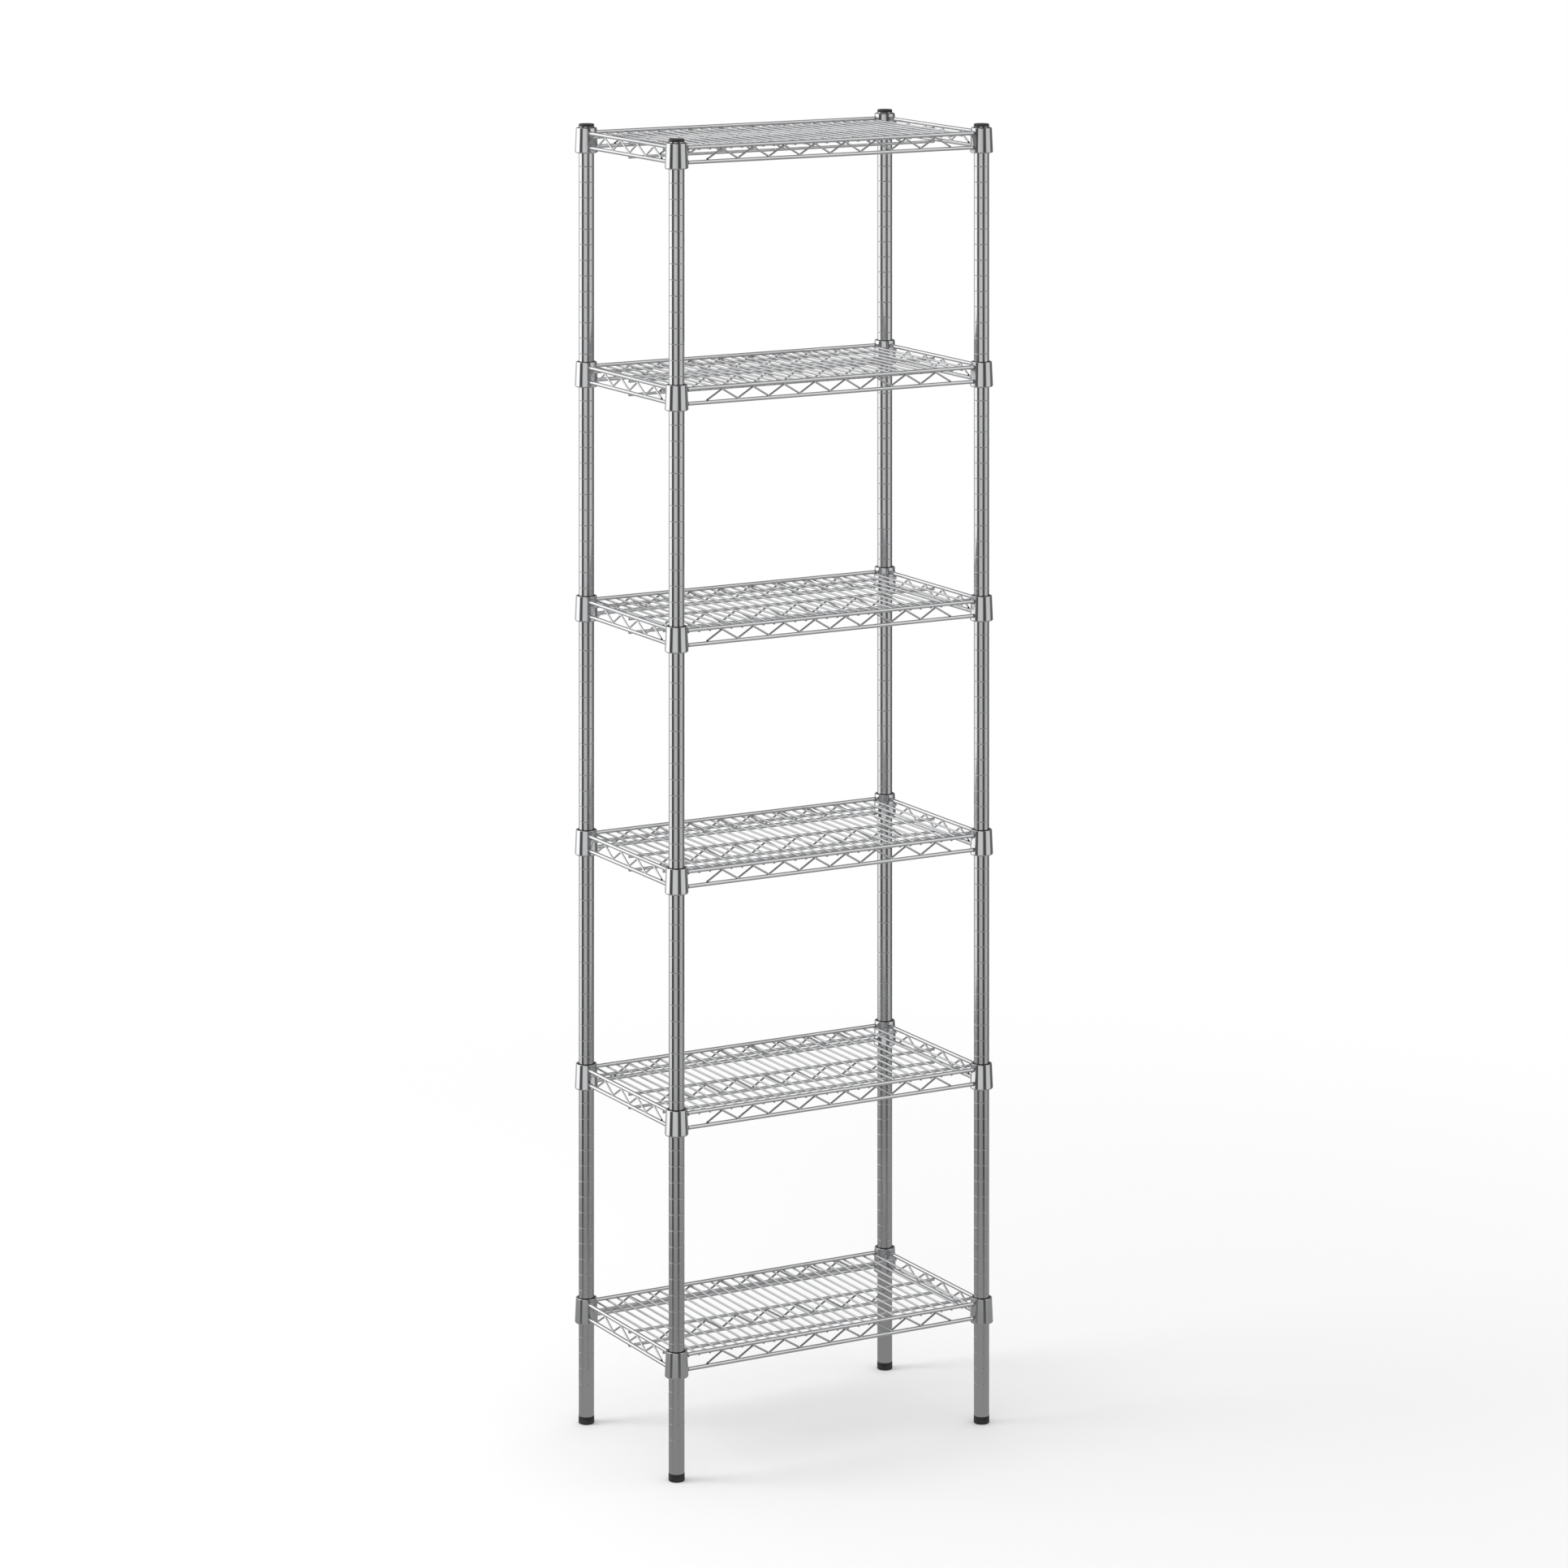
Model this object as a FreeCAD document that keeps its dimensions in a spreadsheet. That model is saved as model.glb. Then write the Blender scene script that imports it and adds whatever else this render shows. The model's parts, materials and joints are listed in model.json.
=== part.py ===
"""Six-tier wire shelving rack for a greenhouse or nursery.

Four grooved tube posts stand on screw feet. Each shelf hangs by four tapered
corner collars on split plastic sleeves that clip round the posts, so a shelf
wedges itself tight under load and lifts off upwards.

X runs along the shelves, Y runs from front to back, Z is up. The origin is on
the floor in the middle of the footprint. All lengths are in millimetres.
"""

import FreeCAD, Part
import math
import os

import Sketcher

SIZES = {
    # Frame: places of the post centres, and heights of the shelf collars.
    "post_span_long": 562.6,
    "post_span_deep": 312.7,
    "shelf_spacing": 381.0,
    "first_rim_height": 204.6,
    "post_above_last_rim": 2.1,
    # Post tube, with a rolled ring groove every inch.
    "post_radius": 12.5,
    "post_wall": 1.2,
    "groove_pitch": 25.4,
    "groove_below_rim": 12.0,
    "grooves_under_first_rim": 6,
    "groove_depth": 0.4,
    "groove_half_width": 0.8,
    # Corner collar of a shelf, wider at its bottom, with a tapered bore.
    "collar_height": 41.0,
    "collar_top_radius": 17.0,
    "collar_bottom_radius": 18.7,
    "collar_top_chamfer": 0.6,
    "collar_foot_inset": 2.1,
    "collar_foot_rise": 2.4,
    "bore_top_radius": 14.33,
    "bore_taper": 0.0268,
    # Split sleeve between post and collar.
    "sleeve_gap": 0.03,
    "sleeve_rise": 0.8,
    "sleeve_short": 0.6,
    "sleeve_post_gap": 0.05,
    "sleeve_angle": 178.0,
    "rib_reach": 0.3,
    "rib_half_height": 0.5,
    # Straight rails, two on each side of a shelf, one above the other.
    "rail_radius": 3.15,
    "rail_offset": 2.8,
    "rail_end_to_post": 15.6,
    "upper_rail_drop": 8.2,
    "lower_rail_drop": 31.6,
    # Mat wires run from front to back and carry the goods.
    "mat_radius": 1.6,
    "mat_pitch": 19.38,
    "mat_count": 28,
    "mat_drop": 11.25,
    "mat_overhang": 1.0,
    # Support wires run along the shelf under the mat.
    "support_radius": 2.4,
    "support_drop": 13.65,
    "support_overhang": 0.7,
    "front_support_offset": 117.5,
    "back_support_offset": 124.2,
    "keel_drop": 35.3,
    # Zigzag truss wires between an upper and a lower rail.
    "truss_radius": 1.6,
    "truss_bend": 3.5,
    "truss_period": 56.26,
    "truss_rise": 15.6,
    "truss_peak_drop": 12.3,
    "keel_truss_peak_drop": 16.85,
    "long_truss_start": 229.1,
    "long_truss_peaks": 8,
    "short_truss_peaks": 4,
    # Push-in cap on the top of each post.
    "cap_radius": 12.6,
    "cap_height": 5.0,
    "cap_edge_height": 2.2,
    "cap_shoulder_inset": 2.4,
    "cap_shoulder_height": 4.3,
    "plug_gap": 0.1,
    "cap_plug_depth": 14.0,
    "cap_plug_wall": 2.0,
    # Threaded insert pushed into the bottom of each post.
    "insert_top": 12.3,
    "insert_bottom": 8.4,
    "insert_radius": 12.8,
    "insert_plug_height": 22.0,
    "insert_lead_in": 1.0,
    # Screw stud, its threads taken as a plain cylinder.
    "stud_radius": 4.0,
    "stud_gap": 0.1,
    "stud_top": 38.5,
    "stud_tip": 1.0,
    "stud_head_radius": 5.6,
    "stud_head_bottom": 2.4,
    "stud_head_top": 4.0,
    # Round foot base that turns on the stud head.
    "base_radius": 12.8,
    "base_height": 8.2,
    "base_edge": 1.4,
    "base_cavity_gap": 0.2,
}
SHELF_COUNT = 6
CORNERS = {
    "front_left": (-1, -1),
    "front_right": (1, -1),
    "back_left": (-1, 1),
    "back_right": (1, 1),
}
# Places every shelf and post is built from, as expressions on the sheet.
HALF_LONG = "Size.post_span_long / 2"
HALF_DEEP = "Size.post_span_deep / 2"
RAIL_Y = f"({HALF_DEEP} + Size.rail_offset)"
RAIL_X = f"({HALF_LONG} + Size.rail_offset)"
POST_TOP = (
    f"(Size.first_rim_height + Size.shelf_spacing * {SHELF_COUNT - 1}"
    " + Size.post_above_last_rim)"
)
PLUG_RADIUS = "(Size.post_radius - Size.post_wall - Size.plug_gap)"
ALONG_X = FreeCAD.Rotation(FreeCAD.Vector(0, 1, 0), 90)
ALONG_Y = FreeCAD.Rotation(FreeCAD.Vector(1, 0, 0), -90)

doc = FreeCAD.newDocument("wire_rack")


def write_sheet():
    """Put every size on the sheet under its own name."""
    sheet = doc.addObject("Spreadsheet::Sheet", "Size")
    for row, (name, value) in enumerate(SIZES.items(), start=1):
        sheet.set(f"A{row}", name)
        sheet.set(f"B{row}", str(value))
        sheet.setAlias(f"B{row}", name)
    doc.recompute()


def place(thing, x="0", y="0", z="0"):
    """Bind the place of an object to three expressions."""
    for axis, expression in zip("xyz", (x, y, z)):
        thing.setExpression(f"Placement.Base.{axis}", expression)


def origin_part(body, role):
    """Find a plane or axis of a body's own origin by its role."""
    return next(f for f in body.Origin.OriginFeatures if f.Role == role)


def new_sketch(body, name, plane):
    """Start a sketch on one of the body's origin planes."""
    sketch = body.newObject("Sketcher::SketchObject", name)
    sketch.AttachmentSupport = [(origin_part(body, plane), "")]
    sketch.MapMode = "FlatFace"
    return sketch


def pin(sketch, geometry, point, x, y):
    """Hold one point of a sketch at a place given by two expressions."""
    for kind, expression in (("DistanceX", x), ("DistanceY", y)):
        value = float(sketch.evalExpression(expression))
        index = sketch.addConstraint(
            Sketcher.Constraint(kind, -1, 1, geometry, point, value)
        )
        sketch.setExpression(f"Constraints[{index}]", expression)


def outline(body, name, points):
    """Draw a closed outline of radius and height pairs for turning."""
    sketch = new_sketch(body, name, "XZ_Plane")
    corners = [
        FreeCAD.Vector(*(float(sketch.evalExpression(e)) for e in pair), 0)
        for pair in points
    ]
    ends = corners[1:] + corners[:1]
    for start, end in zip(corners, ends):
        sketch.addGeometry(Part.LineSegment(start, end), False)
    for i in range(len(points)):
        following = (i + 1) % len(points)
        sketch.addConstraint(Sketcher.Constraint("Coincident", i, 2, following, 1))
    for i, (radius, height) in enumerate(points):
        pin(sketch, i, 1, radius, height)
    return sketch


def turned(name, points, angle="360"):
    """Make a body by turning an outline round the vertical axis."""
    body = doc.addObject("PartDesign::Body", name)
    sketch = outline(body, f"{name}_outline", points)
    turn = body.newObject("PartDesign::Revolution", f"{name}_turn")
    turn.Profile = sketch
    turn.ReferenceAxis = (sketch, ["V_Axis"])
    turn.setExpression("Angle", angle)
    return body


def repeat(body, feature, axis, pitch, count):
    """Repeat the last feature of a body in a straight row."""
    row = body.newObject("PartDesign::LinearPattern", f"{feature.Name}_row")
    row.Originals = [feature]
    row.Direction = (origin_part(body, axis), [""])
    row.setExpression("Length", f"{pitch} * ({count} - 1)")
    row.setExpression("Occurrences", count)
    body.Tip = row


def group(name, members, x="0", y="0", z="0"):
    """Hold members as separate solids of one object, moved as one."""
    compound = doc.addObject("Part::Compound", name)
    compound.Label = name
    compound.Links = members
    place(compound, x, y, z)
    return compound


def rod(name, radius, rotation, length, x="0", y="0", z="0"):
    """Make a straight round rod that starts at x, y, z."""
    cylinder = doc.addObject("Part::Cylinder", name)
    cylinder.Placement = FreeCAD.Placement(FreeCAD.Vector(), rotation)
    cylinder.setExpression("Radius", radius)
    cylinder.setExpression("Height", length)
    place(cylinder, x, y, z)
    return cylinder


def rod_along_x(name, radius, length, y, z):
    """Make a rod that runs left to right, centred on the rack."""
    return rod(name, radius, ALONG_X, length, f"-({length}) / 2", y, z)


def rod_along_y(name, radius, length, x, z):
    """Make a rod that runs front to back, centred on the rack."""
    return rod(name, radius, ALONG_Y, length, x, f"-({length}) / 2", z)


def at_corners(thing, name, z="0"):
    """Put one copy of a thing on each post centre line."""
    return [
        group(
            f"{name}_{corner}",
            [thing],
            f"{side_x} * {HALF_LONG}",
            f"{side_y} * {HALF_DEEP}",
            z,
        )
        for corner, (side_x, side_y) in CORNERS.items()
    ]


def post_form():
    """Post tube from insert flange to cap, with its ring grooves."""
    inner = "Size.post_radius - Size.post_wall"
    outer = "Size.post_radius"
    body = turned(
        "post_form",
        [
            (inner, "Size.insert_top"),
            (outer, "Size.insert_top"),
            (outer, POST_TOP),
            (inner, POST_TOP),
        ],
    )
    lowest = (
        "(Size.first_rim_height - Size.groove_below_rim"
        " - Size.groove_pitch * (Size.grooves_under_first_rim - 1))"
    )
    above = f"{lowest} + Size.groove_half_width"
    below = f"{lowest} - Size.groove_half_width"
    clear = f"{outer} + Size.groove_depth"
    cut_outline = outline(
        body,
        "groove_outline",
        [
            (f"{outer} - Size.groove_depth", lowest),
            (outer, below),
            (clear, below),
            (clear, above),
            (outer, above),
        ],
    )
    cut = body.newObject("PartDesign::Groove", "post_groove")
    cut.Profile = cut_outline
    cut.ReferenceAxis = (cut_outline, ["V_Axis"])
    cut.setExpression("Angle", "360")
    count = (
        "(Size.grooves_under_first_rim"
        f" + round(Size.shelf_spacing * {SHELF_COUNT - 1} / Size.groove_pitch))"
    )
    repeat(body, cut, "Z_Axis", "Size.groove_pitch", count)
    return body


def collar_form():
    """Corner collar, its height measured down from the top rim."""
    foot = "-Size.collar_height"
    return turned(
        "collar_form",
        [
            ("Size.bore_top_radius", "0"),
            ("Size.collar_top_radius - Size.collar_top_chamfer", "0"),
            ("Size.collar_top_radius", "-Size.collar_top_chamfer"),
            ("Size.collar_bottom_radius", f"{foot} + Size.collar_foot_rise"),
            ("Size.collar_bottom_radius - Size.collar_foot_inset", foot),
            (
                "Size.bore_top_radius + Size.bore_taper * Size.collar_height",
                foot,
            ),
        ],
    )


def sleeve_half_form():
    """Half of a split sleeve; its rib sits in one groove of the post."""
    inner = "Size.post_radius + Size.sleeve_post_gap"
    bottom = "-(Size.collar_height - Size.sleeve_short)"
    rim_radius = "Size.bore_top_radius - Size.sleeve_gap"
    return turned(
        "sleeve_half_form",
        [
            (f"{rim_radius} - Size.bore_taper * Size.sleeve_rise", "Size.sleeve_rise"),
            (inner, "Size.sleeve_rise"),
            (inner, "-Size.groove_below_rim + Size.rib_half_height"),
            ("Size.post_radius - Size.rib_reach", "-Size.groove_below_rim"),
            (inner, "-Size.groove_below_rim - Size.rib_half_height"),
            (inner, bottom),
            (f"{rim_radius} - Size.bore_taper * ({bottom})", bottom),
        ],
        "Size.sleeve_angle",
    )


def sleeve_form():
    """Both halves of a sleeve, with a narrow split on either side."""
    front = group("sleeve_front_half", [sleeve_half_form()])
    back = group("sleeve_back_half", [front])
    back.Placement.Rotation = FreeCAD.Rotation(FreeCAD.Vector(0, 0, 1), 180)
    return group("sleeve_form", [front, back])


def cap_form():
    """Domed push-in cap, with a hollow plug inside the tube."""
    edge = f"{POST_TOP} + Size.cap_edge_height"
    shoulder = f"{POST_TOP} + Size.cap_shoulder_height"
    plug_end = f"{POST_TOP} - Size.cap_plug_depth"
    hollow = f"{PLUG_RADIUS} - Size.cap_plug_wall"
    return turned(
        "cap_form",
        [
            ("0", f"{POST_TOP} + Size.cap_height"),
            ("0", POST_TOP),
            (hollow, POST_TOP),
            (hollow, plug_end),
            (PLUG_RADIUS, plug_end),
            (PLUG_RADIUS, POST_TOP),
            ("Size.cap_radius", POST_TOP),
            ("Size.cap_radius", edge),
            ("Size.cap_radius - Size.cap_shoulder_inset", shoulder),
        ],
    )


def insert_form():
    """Flanged insert whose bore takes the stud of the foot."""
    bore = "Size.stud_radius + Size.stud_gap"
    top = "Size.insert_top + Size.insert_plug_height"
    return turned(
        "insert_form",
        [
            (bore, "Size.insert_bottom"),
            ("Size.insert_radius", "Size.insert_bottom"),
            ("Size.insert_radius", "Size.insert_top"),
            (PLUG_RADIUS, "Size.insert_top"),
            (PLUG_RADIUS, f"{top} - Size.insert_lead_in"),
            (f"{PLUG_RADIUS} - Size.insert_lead_in", top),
            (bore, top),
        ],
    )


def stud_form():
    """Screw stud with a flat round head held inside the foot base."""
    return turned(
        "stud_form",
        [
            ("0", "Size.stud_head_bottom"),
            ("Size.stud_head_radius", "Size.stud_head_bottom"),
            ("Size.stud_head_radius", "Size.stud_head_top"),
            ("Size.stud_radius", "Size.stud_head_top"),
            ("Size.stud_radius", "Size.stud_top - Size.stud_tip"),
            ("Size.stud_radius - Size.stud_tip", "Size.stud_top"),
            ("0", "Size.stud_top"),
        ],
    )


def base_form():
    """Round foot base, closed below, with a cavity for the stud head."""
    cavity = "Size.stud_head_radius + Size.base_cavity_gap"
    roof = "Size.stud_head_top + Size.base_cavity_gap"
    neck = "Size.stud_radius + Size.base_cavity_gap"
    return turned(
        "base_form",
        [
            ("0", "0"),
            ("Size.base_radius - Size.base_edge", "0"),
            ("Size.base_radius", "Size.base_edge"),
            ("Size.base_radius", "Size.base_height"),
            (neck, "Size.base_height"),
            (neck, roof),
            (cavity, roof),
            (cavity, "Size.stud_head_bottom - Size.base_cavity_gap"),
            ("0", "Size.stud_head_bottom - Size.base_cavity_gap"),
        ],
    )


def truss_path(body, name):
    """Draw one wave of a truss wire, from one valley to the next."""
    period = SIZES["truss_period"]
    bend = SIZES["truss_bend"]
    rise = SIZES["truss_rise"]
    centre_rise = rise - 2 * bend
    reach = math.hypot(period / 2, centre_rise)
    slope = math.atan2(centre_rise, period / 2) + math.asin(2 * bend / reach)
    up = FreeCAD.Vector(0, 0, 1)
    quarter = math.pi / 2
    arcs = [
        ((0, bend - rise), -quarter, slope - quarter),
        ((period / 2, -bend), quarter - slope, quarter + slope),
        ((period, bend - rise), -quarter - slope, -quarter),
    ]
    sketch = new_sketch(body, name, "XZ_Plane")
    for centre, start, end in arcs:
        circle = Part.Circle(FreeCAD.Vector(*centre, 0), up, bend)
        sketch.addGeometry(Part.ArcOfCircle(circle, start, end), False)
    bends = sketch.Geometry
    sketch.addGeometry(Part.LineSegment(bends[0].EndPoint, bends[1].EndPoint), False)
    sketch.addGeometry(
        Part.LineSegment(bends[1].StartPoint, bends[2].StartPoint), False
    )
    for first, first_end, second, second_end in (
        (0, 2, 3, 1),
        (1, 2, 3, 2),
        (1, 1, 4, 1),
        (2, 1, 4, 2),
    ):
        sketch.addConstraint(
            Sketcher.Constraint("Tangent", first, first_end, second, second_end)
        )
    for arc in range(3):
        index = sketch.addConstraint(Sketcher.Constraint("Radius", arc, bend))
        sketch.setExpression(f"Constraints[{index}]", "Size.truss_bend")
    valley_centre = "Size.truss_bend - Size.truss_rise"
    pin(sketch, 0, 3, "0", valley_centre)
    pin(sketch, 1, 3, "Size.truss_period / 2", "-Size.truss_bend")
    pin(sketch, 2, 3, "Size.truss_period", valley_centre)
    sketch.addConstraint(Sketcher.Constraint("Vertical", 0, 1, 0, 3))
    sketch.addConstraint(Sketcher.Constraint("Vertical", 2, 2, 2, 3))
    return sketch


def truss_form(name, count):
    """Zigzag wire with rounded bends; its peaks lie at height zero."""
    body = doc.addObject("PartDesign::Body", name)
    path = truss_path(body, f"{name}_path")
    section = new_sketch(body, f"{name}_section", "YZ_Plane")
    middle = FreeCAD.Vector(0, -SIZES["truss_rise"], 0)
    normal = FreeCAD.Vector(0, 0, 1)
    section.addGeometry(Part.Circle(middle, normal, SIZES["truss_radius"]), False)
    pin(section, 0, 3, "0", "-Size.truss_rise")
    index = section.addConstraint(
        Sketcher.Constraint("Radius", 0, SIZES["truss_radius"])
    )
    section.setExpression(f"Constraints[{index}]", "Size.truss_radius")
    doc.recompute()
    wave = body.newObject("PartDesign::AdditivePipe", f"{name}_wave")
    wave.Profile = section
    wave.Spine = (path, [f"Edge{i + 1}" for i in range(len(path.Shape.Edges))])
    repeat(body, wave, "X_Axis", "Size.truss_period", count)
    return body


def collars_of_shelf():
    """Four corner collars."""
    return group("collars_of_shelf", at_corners(collar_form(), "collar"))


def sleeves_of_shelf():
    """Four split sleeves, one on each post."""
    return group("sleeves_of_shelf", at_corners(sleeve_form(), "sleeve"))


def rails_of_shelf():
    """Eight rails; each end stops inside the wall of a collar."""
    long_rail = "(Size.post_span_long - 2 * Size.rail_end_to_post)"
    short_rail = "(Size.post_span_deep - 2 * Size.rail_end_to_post)"
    rails = []
    for level in ("upper", "lower"):
        drop = f"-Size.{level}_rail_drop"
        for side, sign in (("front", "-"), ("back", "")):
            name = f"rail_{side}_{level}"
            place_y = f"{sign}{RAIL_Y}"
            rails.append(
                rod_along_x(name, "Size.rail_radius", long_rail, place_y, drop)
            )
        for side, sign in (("left", "-"), ("right", "")):
            name = f"rail_{side}_{level}"
            place_x = f"{sign}{RAIL_X}"
            rails.append(
                rod_along_y(name, "Size.rail_radius", short_rail, place_x, drop)
            )
    return group("rails_of_shelf", rails)


def mat_wires_of_shelf():
    """Mat wires, evenly spaced and centred on the shelf."""
    length = f"(2 * {RAIL_Y} + 2 * Size.mat_overhang)"
    wires = []
    for i in range(SIZES["mat_count"]):
        x = f"Size.mat_pitch * ({i} - (Size.mat_count - 1) / 2)"
        wires.append(
            rod_along_y(f"mat_wire_{i}", "Size.mat_radius", length, x, "-Size.mat_drop")
        )
    return group("mat_wires_of_shelf", wires)


def support_wires_of_shelf():
    """Three support wires under the mat, and one keel wire below."""
    length = f"(2 * {RAIL_X} + 2 * Size.support_overhang)"
    places = {
        "support_front": ("-Size.front_support_offset", "-Size.support_drop"),
        "support_centre": ("0", "-Size.support_drop"),
        "support_back": ("Size.back_support_offset", "-Size.support_drop"),
        "support_keel": ("0", "-Size.keel_drop"),
    }
    wires = [
        rod_along_x(name, "Size.support_radius", length, y, z)
        for name, (y, z) in places.items()
    ]
    return group("support_wires_of_shelf", wires)


def truss_wires_of_shelf():
    """Zigzag wires on the four sides, and one on the keel wire."""
    long_truss = truss_form("long_truss_form", "Size.long_truss_peaks")
    short_truss = truss_form("short_truss_form", "Size.short_truss_peaks")
    start_x = "-Size.long_truss_start"
    start_y = "-Size.truss_period * Size.short_truss_peaks / 2"
    drop = "-Size.truss_peak_drop"
    wires = [
        group("truss_front", [long_truss], start_x, f"-{RAIL_Y}", drop),
        group("truss_back", [long_truss], start_x, RAIL_Y, drop),
        group("truss_keel", [long_truss], start_x, "0", "-Size.keel_truss_peak_drop"),
    ]
    for side, sign in (("left", "-"), ("right", "")):
        wire = group(f"truss_{side}", [short_truss])
        wire.Placement.Rotation = FreeCAD.Rotation(FreeCAD.Vector(0, 0, 1), 90)
        place(wire, f"{sign}{RAIL_X}", start_y, drop)
        wires.append(wire)
    return group("truss_wires_of_shelf", wires)


def build_nodes():
    """Make every sub-part in its place on the rack."""
    nodes = at_corners(post_form(), "post")
    nodes += at_corners(cap_form(), "post_cap")
    nodes += at_corners(insert_form(), "foot_insert")
    nodes += at_corners(stud_form(), "foot_stud")
    nodes += at_corners(base_form(), "foot_base")
    shelf_sets = {
        "collars": collars_of_shelf(),
        "sleeves": sleeves_of_shelf(),
        "rails": rails_of_shelf(),
        "truss_wires": truss_wires_of_shelf(),
        "mat_wires": mat_wires_of_shelf(),
        "support_wires": support_wires_of_shelf(),
    }
    for tier in range(SHELF_COUNT):
        rim = f"Size.first_rim_height + Size.shelf_spacing * {tier}"
        for name, thing in shelf_sets.items():
            nodes.append(group(f"shelf_{tier + 1}_{name}", [thing], z=rim))
    return nodes


def check_document():
    """Stop if any object of the document failed to build."""
    for thing in doc.Objects:
        if "Invalid" in thing.State or "Error" in thing.State:
            raise RuntimeError(f"{thing.Name} did not build: {thing.State}")


def write_nodes(nodes):
    """Check the shape of every sub-part and write it to its own file."""
    os.makedirs("parts", exist_ok=True)
    for node in nodes:
        if node.Shape.isNull() or not node.Shape.isValid():
            raise RuntimeError(f"{node.Label} has no valid shape")
        node.Shape.exportStep(os.path.join("parts", f"{node.Label}.step"))
        print(node.Label, len(node.Shape.Solids), round(node.Shape.Volume, 1))


write_sheet()
rack_nodes = build_nodes()
doc.recompute()
check_document()
write_nodes(rack_nodes)
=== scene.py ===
import json
import math

import bmesh
import bpy
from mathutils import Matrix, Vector

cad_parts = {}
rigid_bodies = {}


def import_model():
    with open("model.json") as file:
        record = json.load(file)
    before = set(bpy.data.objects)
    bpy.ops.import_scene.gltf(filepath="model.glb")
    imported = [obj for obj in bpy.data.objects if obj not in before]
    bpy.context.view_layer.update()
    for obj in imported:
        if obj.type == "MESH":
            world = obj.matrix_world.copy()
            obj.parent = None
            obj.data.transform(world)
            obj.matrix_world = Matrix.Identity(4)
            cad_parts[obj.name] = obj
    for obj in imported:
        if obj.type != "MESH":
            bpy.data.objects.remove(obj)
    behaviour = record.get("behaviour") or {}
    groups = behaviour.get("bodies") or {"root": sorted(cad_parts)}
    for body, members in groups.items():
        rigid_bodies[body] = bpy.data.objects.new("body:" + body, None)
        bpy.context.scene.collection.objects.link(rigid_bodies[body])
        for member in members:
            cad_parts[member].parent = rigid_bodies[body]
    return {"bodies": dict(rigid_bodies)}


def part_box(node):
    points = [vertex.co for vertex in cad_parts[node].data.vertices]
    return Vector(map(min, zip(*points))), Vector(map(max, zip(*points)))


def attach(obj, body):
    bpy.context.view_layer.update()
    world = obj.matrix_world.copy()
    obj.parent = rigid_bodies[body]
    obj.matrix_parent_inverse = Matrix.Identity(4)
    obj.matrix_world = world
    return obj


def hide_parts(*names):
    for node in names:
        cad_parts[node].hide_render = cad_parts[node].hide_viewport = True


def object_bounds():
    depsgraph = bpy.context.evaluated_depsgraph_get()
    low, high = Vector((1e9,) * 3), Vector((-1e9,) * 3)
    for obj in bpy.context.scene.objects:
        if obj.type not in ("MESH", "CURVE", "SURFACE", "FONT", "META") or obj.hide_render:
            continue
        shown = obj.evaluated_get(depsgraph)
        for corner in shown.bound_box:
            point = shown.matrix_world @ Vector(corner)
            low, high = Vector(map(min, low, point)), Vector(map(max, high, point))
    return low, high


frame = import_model()
cad_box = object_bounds()

MM = 0.001
SHELF_COUNT = 6
CORNERS = ("front_left", "front_right", "back_left", "back_right")
ROUND = 2 * math.pi
SHARP_ANGLE = math.radians(40)
MERGE_DISTANCE = 1e-7

# Post tube and its grooves.
POST_SIDES = 64
POST_EDGE = 0.2 * MM
POST_WALL = 1.2 * MM
GROOVE_PITCH = 25.4 * MM
GROOVE_BELOW_RIM = 12.0 * MM
GROOVES_UNDER_FIRST_RIM = 6
GROOVE_COUNT = 81
GROOVE_DEPTH = 0.22 * MM
GROOVE_HALF_WIDTH = 0.8 * MM

# Cap on the post, with a plug that fits inside the tube.
PLUG_GAP = 0.1 * MM
CAP_PLUG_WALL = 2.0 * MM
CAP_EDGE = 0.4 * MM
CAP_LIP = 1.6 * MM
CAP_DOME = 2.2 * MM
DOME_STEPS = 8

# Foot: insert in the tube, screw stud and round base.
FOOT_EDGE = 0.4 * MM
INSERT_GAP = 0.1 * MM
INSERT_CHAMFER = 1.0 * MM
STUD_SIDES = 40
STUD_RADIUS = 4.0 * MM
STUD_HEAD_HEIGHT = 1.6 * MM
STUD_TIP = 1.0 * MM
THREAD_PITCH = 1.5 * MM
THREAD_DEPTH = 0.6 * MM
BASE_GAP = 0.2 * MM
BASE_SOLE = 2.2 * MM
BASE_ROUND = 1.4 * MM
BASE_FLAT_MARGIN = 3.0 * MM

# Collar and sleeve, measured down from the rim of the collar.
COLLAR_TOP_RADIUS = 17.0 * MM
COLLAR_WALL = 2.67 * MM
COLLAR_TOP_EDGE = 0.6 * MM
COLLAR_EDGE = 0.25 * MM
COLLAR_FOOT_ROUND = 2.4 * MM
BORE_TAPER = 0.0268
SLEEVE_GAP = 0.03 * MM
SLEEVE_POST_GAP = 0.05 * MM
SLEEVE_SPLIT = 0.5 * MM
SLEEVE_EDGE = 0.35 * MM

# Wires.
WIRE_SIDES = 24
RAIL_SIDES = 48
TRUSS_SIDES = 16
RAIL_RADIUS = 3.15 * MM
RAIL_END_TO_POST = 15.6 * MM
SUPPORT_RADIUS = 2.4 * MM
MAT_COUNT = 28
CUT_EDGE = 0.3 * MM
TRUSS_RADIUS = 1.6 * MM
TRUSS_BEND = 3.5 * MM
TRUSS_PERIOD = 56.26 * MM
TRUSS_RISE = 15.6 * MM
LONG_TRUSS_PEAKS = 8
SHORT_TRUSS_PEAKS = 4
LONG_TRUSS_START = 229.1 * MM
TRUSS_LEAD = 1.5 * MM
BEND_STEPS = 8
WELD_FLARE = 0.5 * MM
WELD_LENGTH = 1.8 * MM
WELD_SINK = 0.2 * MM
WELD_STEPS = 5

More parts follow.
